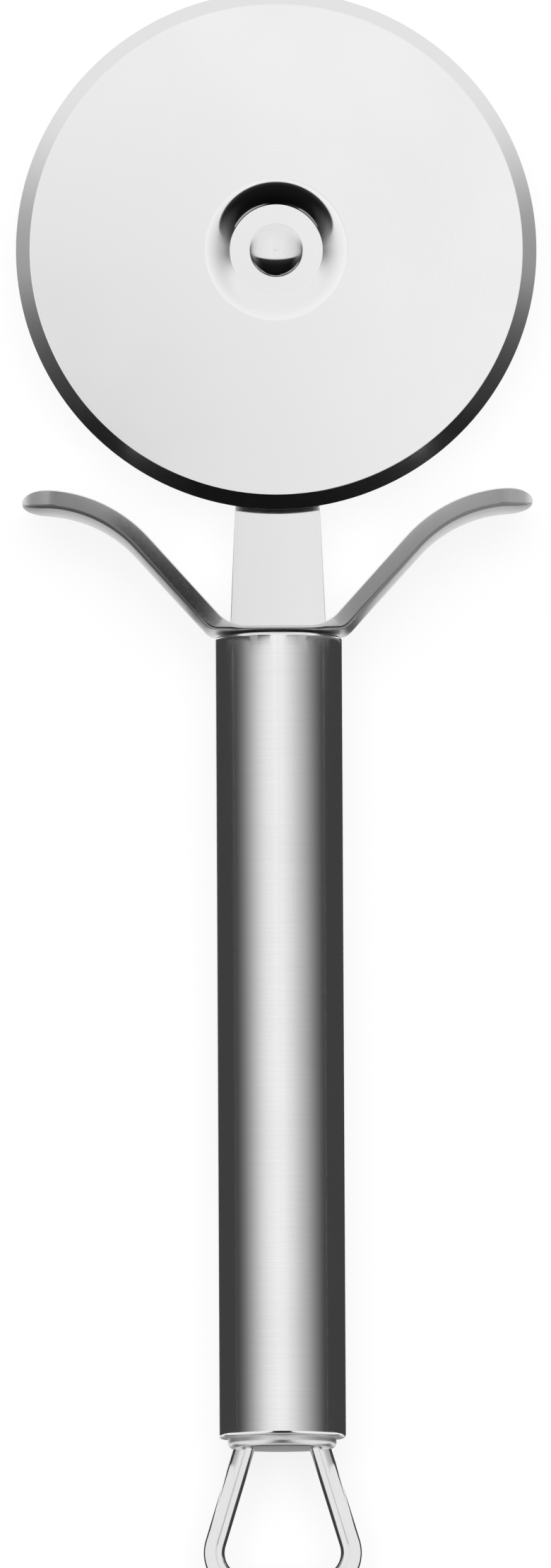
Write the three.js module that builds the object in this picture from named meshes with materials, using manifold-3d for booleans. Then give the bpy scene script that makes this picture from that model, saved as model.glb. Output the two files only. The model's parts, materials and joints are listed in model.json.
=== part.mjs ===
// Pizza cutter: a polished wheel on a flat stem, a bent finger guard, a tube handle and a wire hanging loop.
// Millimetres. The tool lies on its back: +Y runs along the handle to the wheel, +Z out of the wheel's face.
// The origin is under the middle of the tool, on the surface that the handle lies on.
import * as THREE from 'three';
import { mergeVertices } from 'three/addons/utils/BufferGeometryUtils.js';
import Module from 'manifold-3d';

const wasm = await Module();
wasm.setup();

// Handle tube
const tubeDiameter = 18.4;
const tubeWall = 1.2;
const tubeLength = 115.5;
const tubeRimRound = 0.5;

// Cutting wheel, a pressed sheet with a dimple that takes the rivet's head
const wheelDiameter = 75;
const wheelSheet = 1.2;
const bevelWidth = 2;
const edgeLand = 0.2;
const dimpleMouthDiameter = 20.7;
const dimpleFloorDiameter = 13.2;
const dimpleDepth = 1.12;
const dimpleFloorBend = 0.9;
const axleHeight = 55.6;

// Axle rivet and its washers
const shoulderDiameter = 5.2;
const rivetTailDiameter = 4;
const rivetHeadDiameter = 7.7;
const rivetHeadHeight = 1;
const rivetRimHeight = 0.2;
const peenDiameter = 6;
const peenHeight = 0.9;
const spacerDiameter = 10;
const spacerThickness = 2;
const burrDiameter = 7.6;
const burrThickness = 0.6;

// Stem and the tang that runs on into the handle
const stemThickness = 2.5;
const stemRootWidth = 13.8;
const stemEndDiameter = 9;
const stemEdgeChamfer = 0.3;
const tangWidth = 9;
const tangLength = 28;

// Finger guard, a bent strip with a flat middle and two curled wings
const guardThickness = 2.6;
const guardDepth = 13.5;
const guardRise = 1.16;
const guardFlatLength = 9.2;
const guardBendRadius = 5.4;
const wingAngle = 48;
const wingStraight = 14.8;
const wingCurlRadius = 21;
const wingDroop = 4;
const wingCornerRadius = 5.5;

// Plug in the tube's mouth and its cross pin, both placed from the tang's lower end
const tangProjection = 2.3;
const pinDiameter = 3;
const pinSetback = 12.3;
const pinInset = 0.5;

// End cap
const capProtrusion = 1.5;
const capEdgeRound = 0.9;
const capFloor = 2.5;
const capSkirt = 9;
const capWall = 1.2;

// Hanging loop of bent wire
const wireDiameter = 3;
const loopReach = 21.2;
const loopLegSpacing = 11;
const loopSplay = 17;
const loopCornerRadius = 4.75;
const loopLegInside = 4;

// Clearances
const runningGap = 0.05;
const endPlay = 0.1;
const seatGap = 0.05;
const slotGap = 0.3;
const plugGap = 0.1;
const capGap = 0.2;
const wireGap = 0.2;
const pinGap = 0.1;

// Facets
const roundFacets = 64;
const smallFacets = 32;
const wireFacets = 12;
const wireSteps = 52;
const bendFacets = 6;
const pressFacets = 3;
const edgeFacets = 2;

// Sizes that follow from the ones above
const tubeRadius = tubeDiameter / 2;
const boreRadius = tubeRadius - tubeWall;
const wheelRadius = wheelDiameter / 2;
const shoulderRadius = shoulderDiameter / 2;
const tailRadius = rivetTailDiameter / 2;
const guardBottom = guardRise - guardThickness;
const guardFlatHalf = guardFlatLength / 2;
const stemFront = stemThickness / 2;
const spacerBack = stemFront + seatGap;
const wheelFloorBack = spacerBack + spacerThickness + seatGap;
const wheelFloorFront = wheelFloorBack + wheelSheet;
const wheelFront = wheelFloorFront + dimpleDepth;
const plugTop = guardBottom - slotGap;
const plugBottom = tangProjection - tangLength;
const pinHeight = pinSetback - tangLength;
const capBottom = -tubeLength - capProtrusion;
const capRadius = boreRadius - capGap;
const loopBottom = -tubeLength - loopReach;
const toolTop = axleHeight + wheelRadius;
const toolBottom = loopBottom - wireDiameter / 2;

const radians = THREE.MathUtils.degToRad;

const mirrorSteel = { color: 0xe2e3e4, roughness: 0.08, metalness: 1 };
const brushedSteel = { color: 0xb9babb, roughness: 0.32, metalness: 1 };
const darkNylon = { color: 0x2c2d2f, roughness: 0.6, metalness: 0 };

function finished(name, geometry, finish) {
  const mesh = new THREE.Mesh(geometry, new THREE.MeshStandardMaterial(finish));
  mesh.name = name;
  return mesh;
}

function solid(geometry) {
  const bare = geometry.clone();
  bare.deleteAttribute('normal');
  bare.deleteAttribute('uv');
  const merged = mergeVertices(bare, 1e-4);
  return new wasm.Manifold(new wasm.Mesh({
    numProp: 3,
    vertProperties: new Float32Array(merged.attributes.position.array),
    triVerts: new Uint32Array(merged.index.array),
  }));
}

function surface(body) {
  const mesh = body.getMesh();
  const geometry = new THREE.BufferGeometry();
  geometry.setAttribute('position', new THREE.BufferAttribute(new Float32Array(mesh.vertProperties), 3));
  geometry.setIndex(new THREE.BufferAttribute(new Uint32Array(mesh.triVerts), 1));
  geometry.computeVertexNormals();
  return geometry;
}

// Points on an arc in the drawing plane, angles in degrees.
function arc(centreX, centreY, radius, from, to, facets = bendFacets) {
  return Array.from({ length: facets + 1 }, (_, i) => {
    const angle = radians(from + (to - from) * i / facets);
    return new THREE.Vector2(centreX + radius * Math.cos(angle), centreY + radius * Math.sin(angle));
  });
}

// A closed profile of (radius, height) points turned about Y.
function turned(profile, facets = roundFacets) {
  return new THREE.LatheGeometry([...profile, profile[0]], facets);
}

// The same, with the axis along Z.
function turnedOnZ(profile, facets = roundFacets) {
  return turned(profile, facets).rotateX(Math.PI / 2);
}

function ring(inner, outer, low, high) {
  return [
    new THREE.Vector2(inner, low),
    new THREE.Vector2(outer, low),
    new THREE.Vector2(outer, high),
    new THREE.Vector2(inner, high),
  ];
}

function rod(radius, low, high) {
  return new THREE.CylinderGeometry(radius, radius, high - low, smallFacets).translate(0, (low + high) / 2, 0);
}

function rodOnZ(radius, low, high) {
  return rod(radius, low, high).rotateX(Math.PI / 2);
}

function block(width, height, depth) {
  return new THREE.BoxGeometry(width, height, depth);
}

// A flat outline in XY given a thickness in Z, centred on the handle's axis.
function plate(outline, thickness, chamfer = 0) {
  const shape = new THREE.Shape(outline);
  const geometry = new THREE.ExtrudeGeometry(shape, {
    depth: thickness - 2 * chamfer,
    bevelEnabled: chamfer > 0,
    bevelThickness: chamfer,
    bevelSize: chamfer,
    bevelOffset: -chamfer,
    bevelSegments: 1,
  });
  return geometry.translate(0, 0, chamfer - thickness / 2);
}

function handleTube() {
  const r = tubeRimRound;
  const outer = tubeRadius - r;
  return turned([
    new THREE.Vector2(boreRadius, -tubeLength),
    ...arc(outer, r - tubeLength, r, -90, 0, edgeFacets),
    ...arc(outer, -r, r, 0, 90, edgeFacets),
    new THREE.Vector2(boreRadius, 0),
  ]);
}

// One side of the pressed sheet, from the dimple's flat floor to the flat face: 1 is the front, -1 the back.
// A floor bend and a wide flare meet in one slope; their sizes are those of the sheet's middle line.
function sheetSide(side) {
  const half = wheelSheet / 2;
  const floor = dimpleFloorDiameter / 2;
  const mouth = dimpleMouthDiameter / 2;
  const slope = 2 * Math.atan2(dimpleDepth, mouth - floor);
  const flare = (mouth - floor) / Math.sin(slope) - dimpleFloorBend;
  const wall = THREE.MathUtils.radToDeg(slope);
  const floorY = wheelFloorBack + half + dimpleFloorBend;
  const mouthY = wheelFront - half - flare;
  return [
    ...arc(floor, floorY, dimpleFloorBend - side * half, -90, wall - 90, pressFacets),
    ...arc(mouth, mouthY, flare + side * half, wall + 90, 90, pressFacets).slice(1),
  ];
}

// The wheel's edge is ground from the front, down to a narrow land at the back.
function bladeWheel() {
  const bore = shoulderRadius + runningGap;
  const wheelBack = wheelFront - wheelSheet;
  const front = [
    new THREE.Vector2(bore, wheelFloorFront),
    ...sheetSide(1),
    new THREE.Vector2(wheelRadius - bevelWidth, wheelFront),
    new THREE.Vector2(wheelRadius, wheelBack + edgeLand),
  ];
  const back = [
    new THREE.Vector2(bore, wheelFloorBack),
    ...sheetSide(-1),
    new THREE.Vector2(wheelRadius, wheelBack),
  ];
  return turnedOnZ([...back, ...front.reverse()]);
}

// Domed cap of a rivet head or tail: from its edge in to the axis.
function dome(radius, base, height) {
  const edge = Array.from({ length: pressFacets }, (_, i) => {
    const angle = radians(90 * i / pressFacets);
    return new THREE.Vector2(radius * Math.cos(angle), base + height * Math.sin(angle));
  });
  return [...edge, new THREE.Vector2(0, base + height)];
}

function axleRivet() {
  const headSeat = wheelFloorFront + endPlay;
  const tailSeat = -stemFront - seatGap - burrThickness - seatGap;
  return new THREE.LatheGeometry([
    ...dome(peenDiameter / 2, tailSeat, -peenHeight).reverse(),
    new THREE.Vector2(tailRadius, tailSeat),
    new THREE.Vector2(tailRadius, spacerBack),
    new THREE.Vector2(shoulderRadius, spacerBack),
    new THREE.Vector2(shoulderRadius, headSeat),
    new THREE.Vector2(rivetHeadDiameter / 2, headSeat),
    ...dome(rivetHeadDiameter / 2, headSeat + rivetRimHeight, rivetHeadHeight - rivetRimHeight),
  ], smallFacets).rotateX(Math.PI / 2);
}

function spacerWasher() {
  const bore = shoulderRadius + runningGap;
  return turnedOnZ(ring(bore, spacerDiameter / 2, spacerBack, spacerBack + spacerThickness), smallFacets);
}

function rivetBurr() {
  const face = -stemFront - seatGap;
  return turnedOnZ(ring(tailRadius + runningGap, burrDiameter / 2, face - burrThickness, face), smallFacets);
}

// Height of the guard's upper side at a distance from the middle.
function guardTopAt(x) {
  const past = Math.max(0, Math.abs(x) - guardFlatHalf);
  const bendEnd = guardBendRadius * Math.sin(radians(wingAngle));
  if (past <= bendEnd) {
    return guardRise + guardBendRadius - Math.sqrt(guardBendRadius ** 2 - past ** 2);
  }
  const bendRise = guardBendRadius * (1 - Math.cos(radians(wingAngle)));
  return guardRise + bendRise + (past - bendEnd) * Math.tan(radians(wingAngle));
}

// Right half of the stem's outline, from the tang's end up to the rounded end round the axle.
function stemHalf() {
  const root = stemRootWidth / 2;
  const tang = tangWidth / 2;
  const shoulders = Array.from({ length: bendFacets + 1 }, (_, i) => {
    const x = tang + (root - tang) * i / bendFacets;
    return new THREE.Vector2(x, guardTopAt(x) + slotGap);
  });
  const corner = shoulders[bendFacets];
  const endRadius = stemEndDiameter / 2;
  const away = Math.hypot(corner.x, axleHeight - corner.y);
  const toCorner = Math.atan2(corner.y - axleHeight, corner.x);
  const tangent = THREE.MathUtils.radToDeg(toCorner + Math.acos(endRadius / away));
  return [
    new THREE.Vector2(tang, -tangLength),
    ...shoulders,
    ...arc(0, axleHeight, endRadius, tangent, 90),
  ];
}

function stem() {
  const right = stemHalf();
  const left = right.slice(0, -1).reverse().map((p) => new THREE.Vector2(-p.x, p.y));
  const bar = solid(plate([...right, ...left], stemThickness, stemEdgeChamfer));
  const reach = stemThickness;
  const rivetHole = rodOnZ(tailRadius + runningGap, -reach, reach).translate(0, axleHeight, 0);
  const pinHole = rodOnZ(pinDiameter / 2 + pinGap, -reach, reach).translate(0, pinHeight, 0);
  return surface(bar.subtract(solid(rivetHole)).subtract(solid(pinHole)));
}

// Right half of the bent strip's outline: out along one side, round the tip and back along the other.
function guardHalf() {
  const bendY = guardRise + guardBendRadius;
  const angle = radians(wingAngle);
  const along = new THREE.Vector2(Math.cos(angle), Math.sin(angle)).multiplyScalar(wingStraight);
  const bendEnd = new THREE.Vector2(Math.sin(angle), -Math.cos(angle)).multiplyScalar(guardBendRadius);
  const curl = new THREE.Vector2(Math.sin(angle), -Math.cos(angle)).multiplyScalar(wingCurlRadius);
  const centre = new THREE.Vector2(guardFlatHalf, bendY).add(bendEnd).add(along).add(curl);
  const inner = wingCurlRadius - guardThickness;
  const tipAngle = 90 - wingDroop;
  const tipMiddle = (wingCurlRadius + inner) / 2;
  const tipX = centre.x + tipMiddle * Math.cos(radians(tipAngle));
  const tipY = centre.y + tipMiddle * Math.sin(radians(tipAngle));
  const outline = [
    ...arc(guardFlatHalf, bendY, guardBendRadius + guardThickness, -90, wingAngle - 90),
    ...arc(centre.x, centre.y, inner, wingAngle + 90, tipAngle),
    ...arc(tipX, tipY, guardThickness / 2, tipAngle - 180, tipAngle).slice(1, -1),
    ...arc(centre.x, centre.y, wingCurlRadius, tipAngle, wingAngle + 90),
    ...arc(guardFlatHalf, bendY, guardBendRadius, wingAngle - 90, -90),
  ];
  return { outline, halfSpan: tipX + guardThickness / 2, height: centre.y + wingCurlRadius };
}

function fingerGuard() {
  const { outline, halfSpan, height } = guardHalf();
  const left = [...outline].reverse().map((p) => new THREE.Vector2(-p.x, p.y));
  const strip = solid(plate([...outline, ...left], guardDepth));

  const halfDepth = guardDepth / 2;
  const c = wingCornerRadius;
  const plan = [
    ...arc(halfSpan - c, halfDepth - c, c, 0, 90),
    ...arc(c - halfSpan, halfDepth - c, c, 90, 180),
    ...arc(c - halfSpan, c - halfDepth, c, 180, 270),
    ...arc(halfSpan - c, c - halfDepth, c, 270, 360),
  ];
  const tall = 2 * (height + guardThickness);
  const blank = solid(plate(plan, tall).rotateX(Math.PI / 2));

  const slot = solid(block(tangWidth + 2 * slotGap, tall, stemThickness + 2 * slotGap));
  const rim = ring(boreRadius - slotGap, Math.hypot(tubeRadius, halfDepth) + slotGap, -tall, seatGap);
  return surface(strip.intersect(blank).subtract(slot).subtract(solid(turned(rim))));
}

function tangPlug() {
  const body = solid(rodOfPlug(plugBottom, plugTop));
  const slot = solid(block(tangWidth + 2 * slotGap, 4 * tangLength, stemThickness + 2 * slotGap));
  const pinHole = rodOnZ(pinDiameter / 2 + pinGap, -tubeRadius, tubeRadius).translate(0, pinHeight, 0);
  return surface(body.subtract(slot).subtract(solid(pinHole)));
}

function rodOfPlug(low, high) {
  const radius = boreRadius - plugGap;
  return new THREE.CylinderGeometry(radius, radius, high - low, roundFacets).translate(0, (low + high) / 2, 0);
}

function tangPin() {
  const half = boreRadius - plugGap - pinInset;
  return rodOnZ(pinDiameter / 2, -half, half).translate(0, pinHeight, 0);
}

// A stretch of arc in the plane of the handle's axis, for the wire's path.
class WireBend extends THREE.Curve {
  constructor(centre, radius, from, to) {
    super();
    Object.assign(this, { centre, radius, from, to });
  }

  getPoint(t, target = new THREE.Vector3()) {
    const angle = radians(this.from + (this.to - this.from) * t);
    return target.set(
      this.centre.x + this.radius * Math.cos(angle),
      this.centre.y + this.radius * Math.sin(angle),
      0,
    );
  }
}

// The wire's middle line: down the right leg, round two corners, up the left leg.
function loopPath() {
  const splay = Math.tan(radians(loopSplay));
  const legTop = capBottom + capFloor + loopLegInside;
  const legX = (y) => loopLegSpacing / 2 + splay * (capBottom - y);
  const cornerX = legX(loopBottom) - loopCornerRadius * Math.tan(radians(45 + loopSplay / 2));
  const cornerY = loopBottom + loopCornerRadius;
  const right = new WireBend(new THREE.Vector2(cornerX, cornerY), loopCornerRadius, loopSplay, -90);
  const left = new WireBend(new THREE.Vector2(-cornerX, cornerY), loopCornerRadius, -90, -180 - loopSplay);
  const path = new THREE.CurvePath();
  path.add(new THREE.LineCurve3(new THREE.Vector3(legX(legTop), legTop, 0), right.getPoint(0)));
  path.add(right);
  path.add(new THREE.LineCurve3(right.getPoint(1), left.getPoint(0)));
  path.add(left);
  path.add(new THREE.LineCurve3(left.getPoint(1), new THREE.Vector3(-legX(legTop), legTop, 0)));
  return path;
}

function wire(radius) {
  const section = new THREE.Shape(arc(0, 0, radius, 0, 360, wireFacets).slice(0, -1));
  return new THREE.ExtrudeGeometry(section, { steps: wireSteps, extrudePath: loopPath() });
}

function endCap() {
  const r = capEdgeRound;
  const floor = capBottom + capFloor;
  const top = -tubeLength + capSkirt;
  const inner = capRadius - capWall;
  const cup = new THREE.LatheGeometry([
    new THREE.Vector2(0, capBottom),
    ...arc(capRadius - r, capBottom + r, r, -90, 0, pressFacets),
    new THREE.Vector2(capRadius, top),
    new THREE.Vector2(inner, top),
    new THREE.Vector2(inner, floor),
    new THREE.Vector2(0, floor),
  ], roundFacets);
  return surface(solid(cup).subtract(solid(wire(wireDiameter / 2 + wireGap))));
}

const axle = new THREE.Group();
axle.position.y = axleHeight;
axle.add(
  finished('blade_wheel', bladeWheel(), mirrorSteel),
  finished('axle_rivet', axleRivet(), mirrorSteel),
  finished('spacer_washer', spacerWasher(), darkNylon),
  finished('rivet_burr', rivetBurr(), mirrorSteel),
);

const tool = new THREE.Group();
tool.position.set(0, -(toolTop + toolBottom) / 2, tubeRadius);
tool.add(
  axle,
  finished('stem', stem(), mirrorSteel),
  finished('finger_guard', fingerGuard(), mirrorSteel),
  finished('tang_plug', tangPlug(), darkNylon),
  finished('tang_pin', tangPin(), mirrorSteel),
  finished('handle_tube', handleTube(), brushedSteel),
  finished('end_cap', endCap(), mirrorSteel),
  finished('hanging_loop', wire(wireDiameter / 2), mirrorSteel),
);

const cutter = new THREE.Group();
cutter.add(tool);

export default cutter;
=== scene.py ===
"""Dresses the pizza cutter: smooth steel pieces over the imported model, in a white studio.

The handle, the axle and the head are classes that make their pieces and give them a finish. Geometry
Nodes turn the round pieces and sweep the loop; the guard and the stem are worked as plain meshes. The
studio holds the floor, the light and the camera.
"""

import json
import logging
import math
from collections.abc import Iterable, Sequence
from dataclasses import dataclass, field
from enum import Enum

import bmesh
import bpy
from mathutils import Matrix, Vector


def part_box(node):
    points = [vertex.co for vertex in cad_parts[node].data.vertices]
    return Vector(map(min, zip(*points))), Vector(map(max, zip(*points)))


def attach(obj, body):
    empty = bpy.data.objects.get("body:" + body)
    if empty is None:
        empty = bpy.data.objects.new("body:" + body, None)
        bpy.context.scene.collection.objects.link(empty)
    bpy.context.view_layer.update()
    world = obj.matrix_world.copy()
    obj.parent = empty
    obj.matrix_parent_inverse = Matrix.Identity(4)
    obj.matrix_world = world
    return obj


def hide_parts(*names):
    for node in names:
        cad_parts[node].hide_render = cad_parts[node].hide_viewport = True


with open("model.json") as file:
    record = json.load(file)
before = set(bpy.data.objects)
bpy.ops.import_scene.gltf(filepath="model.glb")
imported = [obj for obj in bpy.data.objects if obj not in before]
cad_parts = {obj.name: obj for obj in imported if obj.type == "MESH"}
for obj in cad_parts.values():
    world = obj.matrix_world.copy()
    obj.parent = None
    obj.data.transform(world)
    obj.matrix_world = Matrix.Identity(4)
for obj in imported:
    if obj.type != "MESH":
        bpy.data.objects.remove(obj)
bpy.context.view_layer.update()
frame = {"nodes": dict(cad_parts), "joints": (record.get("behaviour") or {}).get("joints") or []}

LOG = logging.getLogger("pizza_cutter")
MM = 0.001
HANDLE_BODY = "handle"
WHEEL_BODY = "wheel"
MERGE_DISTANCE = 1e-6
GRAIN_STRETCH = 60
CLOUD_SCALE = 55.0
MOTTLE_SCALE = 900.0
TONE_NOISE = (0.35, 0.65)
GLOSS_NOISE = (0.3, 0.7)
SHARP_ANGLE = math.radians(28)

Point = tuple[float, float]
Place = tuple[float, float, float]
Colour = tuple[float, float, float]
Piece = bpy.types.Object
Material = bpy.types.Material
Socket = bpy.types.NodeSocket
Tone = Socket | Sequence[float]


def arc(centre: Point, radius: float, start: float, end: float, steps: int = 8) -> list[Point]:
    """Points on an arc of a flat drawing.

    Args:
        centre: Middle of the circle.
        radius: Its radius.
        start: First angle in degrees.
        end: Last angle in degrees.
        steps: Number of chords.

    Returns:
        The points from start to end, both included.
    """
    angles = [math.radians(start + (end - start) * i / steps) for i in range(steps + 1)]
    return [(centre[0] + radius * math.cos(a), centre[1] + radius * math.sin(a)) for a in angles]


def rounded(corners: Sequence[tuple[float, float, float]], steps: int = 5) -> list[Point]:
    """A polyline whose inner corners are rounded.

    Args:
        corners: Points as (x, y, radius); a radius of 0 keeps the corner sharp.
        steps: Chords in each rounded corner.

    Returns:
        The points of the rounded polyline.
    """
    points: list[Point] = []
    for index, (x, y, radius) in enumerate(corners):
        if radius == 0 or index in (0, len(corners) - 1):
            points.append((x, y))
            continue
        here = Vector((x, y))
        back = (Vector(corners[index - 1][:2]) - here).normalized()
        ahead = (Vector(corners[index + 1][:2]) - here).normalized()
        half = back.angle(ahead) / 2
        middle = here + (back + ahead).normalized() * (radius / math.sin(half))
        first = here + back * (radius / math.tan(half)) - middle
        last = here + ahead * (radius / math.tan(half)) - middle
        turn = math.atan2(first.x * last.y - first.y * last.x, first.dot(last))
        start = math.degrees(math.atan2(first.y, first.x))
        points += arc((middle.x, middle.y), radius, start, start + math.degrees(turn), steps)
    return points


class NodeSketch:
    """Adds nodes to a tree and links them, so that a graph reads as a list of steps."""

    def __init__(self, tree: bpy.types.NodeTree) -> None:
        """Start from an empty tree."""
        self.tree = tree
        tree.nodes.clear()

    def add(self, kind: str, values: dict | None = None, **settings: object) -> bpy.types.Node:
        """Add one node.

        Args:
            kind: The node's type name.
            values: Input name or index to a number, a colour or a socket to link from.
            **settings: Properties of the node itself.

        Returns:
            The new node.
        """
        node = self.tree.nodes.new(kind)
        for key, value in settings.items():
            setattr(node, key, value)
        for key, value in (values or {}).items():
            if isinstance(value, Socket):
                self.tree.links.new(value, node.inputs[key])
            else:
                node.inputs[key].default_value = value
        return node

    def maths(self, operation: str, first: Socket | float, second: Socket | float = 0.0) -> Socket:
        """Add a Math node and return its result."""
        return self.add("ShaderNodeMath", {0: first, 1: second}, operation=operation).outputs[0]

    def spread(self, value: Socket, source: Point, target: Point, smooth: bool = False) -> Socket:
        """Map a value from one range to another.

        Args:
            value: The value to map.
            source: Range that it comes in.
            target: Range that it goes to.
            smooth: Ease the ends of the range.

        Returns:
            The mapped value, held within the target range.
        """
        node = self.add(
            "ShaderNodeMapRange",
            {0: value, 1: source[0], 2: source[1], 3: target[0], 4: target[1]},
            interpolation_type="SMOOTHSTEP" if smooth else "LINEAR",
        )
        return node.outputs[0]

    def radius(self, place: Socket) -> Socket:
        """Measure how far a point lies from the Z axis.

        Args:
            place: The point.

        Returns:
            The distance.
        """
        part = self.add("ShaderNodeSeparateXYZ", {0: place}).outputs
        squares = self.maths("ADD", self.maths("POWER", part[0], 2.0), self.maths("POWER", part[1], 2.0))
        return self.maths("SQRT", squares)

    def blend(self, share: Socket, first: Tone, second: Tone) -> Socket:
        """Mix two colours by a share and return the result."""
        node = self.add("ShaderNodeMix", {0: share, 6: first, 7: second}, data_type="RGBA")
        return node.outputs[2]


def blank_material(name: str) -> tuple[Material, NodeSketch]:
    """Make a node material with an empty graph.

    Args:
        name: Name of the material.

    Returns:
        The material and its graph.
    """
    made = bpy.data.materials.new(name)
    made.use_nodes = True
    return made, NodeSketch(made.node_tree)


class Grain(Enum):
    """Which way the marks of a finish run."""

    RINGS = "rings about the axle"
    AROUND = "round the handle"
    LENGTHWISE = "along the tool"
    CLOUDY = "no direction"


@dataclass(frozen=True)
class SteelFinish:
    """Bare stainless steel with its polishing or brushing marks.

    Attributes:
        name: Name of the material.
        tone: Lightest colour of the metal.
        shade: How much darker its marks and cloudy patches are.
        gloss: Lowest and highest roughness.
        grain: Direction of the marks.
        pitch: Distance between marks, in metres.
        relief: Depth of the marks, in metres.
        centre: Point that ring marks run round.
        ground_tone: Brightness of a ground zone beside the polished rest.
        ground_haze: Change of the roughness there.
    """

    name: str
    tone: Colour
    shade: float
    gloss: Point
    grain: Grain
    pitch: float
    relief: float
    centre: Place = (0.0, 0.0, 0.0)
    ground_tone: float = 0.75
    ground_haze: float = 0.12

    def _ground_zone(self, sketch: NodeSketch, place: Socket) -> Socket | None:
        """Share of each point that is ground and not polished; a plain finish has no such zone."""
        return None

    def _grain_vector(self, sketch: NodeSketch, place: Socket) -> Socket:
        """Stretch the coordinates so that noise runs in the grain's direction.

        Args:
            sketch: The material's graph.
            place: The coordinates.

        Returns:
            The stretched coordinates.
        """
        fine = 1 / self.pitch
        broad = fine / GRAIN_STRETCH
        if self.grain is Grain.RINGS:
            ring = sketch.maths("MULTIPLY", sketch.radius(place), fine)
            return sketch.add("ShaderNodeCombineXYZ", {0: ring}).outputs[0]
        scale = {
            Grain.AROUND: (broad, fine, broad),
            Grain.LENGTHWISE: (fine, broad, fine),
            Grain.CLOUDY: (fine, fine, fine),
        }[self.grain]
        return sketch.add("ShaderNodeVectorMath", {0: place, 1: scale}, operation="MULTIPLY").outputs[0]

    def material(self) -> Material:
        """Build the node material.

        Returns:
            The material.
        """
        made, sketch = blank_material(self.name)
        coords = sketch.add("ShaderNodeTexCoord").outputs["Object"]
        away = tuple(-c for c in self.centre)
        place = sketch.add("ShaderNodeMapping", {"Vector": coords, "Location": away}).outputs[0]
        lines = sketch.add(
            "ShaderNodeTexNoise",
            {"Vector": self._grain_vector(sketch, place), "Scale": 1.0, "Detail": 4.0, "Roughness": 0.6},
        ).outputs[0]
        cloud = sketch.add("ShaderNodeTexNoise", {"Vector": place, "Scale": CLOUD_SCALE, "Detail": 3.0})
        both = sketch.maths("MULTIPLY", sketch.maths("ADD", lines, cloud.outputs[0]), 0.5)
        share = sketch.spread(both, TONE_NOISE, (0.0, 1.0))
        dark = tuple(c * (1 - self.shade) for c in self.tone)
        colour = sketch.blend(share, (*dark, 1.0), (*self.tone, 1.0))
        gloss = sketch.spread(both, GLOSS_NOISE, (self.gloss[1], self.gloss[0]))
        zone = self._ground_zone(sketch, place)
        if zone is not None:
            dull = tuple(c * self.ground_tone for c in self.tone)
            colour = sketch.blend(zone, colour, (*dull, 1.0))
            gloss = sketch.maths("ADD", gloss, sketch.maths("MULTIPLY", zone, self.ground_haze))
        bump = sketch.add("ShaderNodeBump", {"Strength": 1.0, "Distance": self.relief, "Height": lines})
        shader = sketch.add(
            "ShaderNodeBsdfPrincipled",
            {"Base Color": colour, "Metallic": 1.0, "Roughness": gloss, "Normal": bump.outputs[0]},
        )
        sketch.add("ShaderNodeOutputMaterial", {"Surface": shader.outputs[0]})
        return made


@dataclass(frozen=True)
class GroundRimFinish(SteelFinish):
    """Polished steel with a ground rim, for the wheel.

    Attributes:
        rim_start: Distance from the axle at which the ground rim begins.
        rim_fade: Width over which it sets in.
    """

    rim_start: float = 0.0
    rim_fade: float = 0.1 * MM

    def _ground_zone(self, sketch: NodeSketch, place: Socket) -> Socket | None:
        """The ring outside the rim's start."""
        rim = (self.rim_start, self.rim_start + self.rim_fade)
        return sketch.spread(sketch.radius(place), rim, (0.0, 1.0))


@dataclass(frozen=True)
class GroundEdgeFinish(SteelFinish):
    """Steel with ground edges, for the guard's strip and the tube's rims.

    Attributes:
        edge_axis: Axis that the edges face along, as its number.
        facing: Share of the normal along that axis at which the edge begins and is complete.
    """

    edge_axis: int = 2
    facing: Point = (0.9, 0.995)

    def _ground_zone(self, sketch: NodeSketch, place: Socket) -> Socket | None:
        """Find the faces that look along the edges' axis, either way.

        Args:
            sketch: The material's graph.
            place: Not needed, since the normal alone decides.

        Returns:
            Share of each point that is ground.
        """
        normal = sketch.add("ShaderNodeTexCoord").outputs["Normal"]
        part = sketch.add("ShaderNodeSeparateXYZ", {0: normal}).outputs
        return sketch.spread(sketch.maths("ABSOLUTE", part[self.edge_axis]), self.facing, (0.0, 1.0))


@dataclass(frozen=True)
class NylonFinish:
    """Dark moulded nylon with a faint mottled grain.

    Attributes:
        name: Name of the material.
        tone: Colour of the plastic.
        mottling: How much darker its grain is.
        gloss: Lowest and highest roughness.
        bump: Strength of the grain's relief.
        relief: Depth of the grain, in metres.
    """

    name: str
    tone: Colour
    mottling: float = 0.3
    gloss: Point = (0.45, 0.6)
    bump: float = 0.3
    relief: float = 0.02 * MM

    def material(self) -> Material:
        """Build the node material.

        Returns:
            The material.
        """
        made, sketch = blank_material(self.name)
        coords = sketch.add("ShaderNodeTexCoord").outputs["Object"]
        noise = sketch.add("ShaderNodeTexNoise", {"Vector": coords, "Scale": MOTTLE_SCALE, "Detail": 3.0})
        mottle = noise.outputs[0]
        dark = tuple(c * (1 - self.mottling) for c in self.tone)
        colour = sketch.blend(mottle, (*dark, 1.0), (*self.tone, 1.0))
        gloss = sketch.spread(mottle, GLOSS_NOISE, self.gloss)
        bump = sketch.add(
            "ShaderNodeBump", {"Strength": self.bump, "Distance": self.relief, "Height": mottle}
        )
        shader = sketch.add(
            "ShaderNodeBsdfPrincipled",
            {"Base Color": colour, "Roughness": gloss, "Normal": bump.outputs[0]},
        )
        sketch.add("ShaderNodeOutputMaterial", {"Surface": shader.outputs[0]})
        return made


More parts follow.
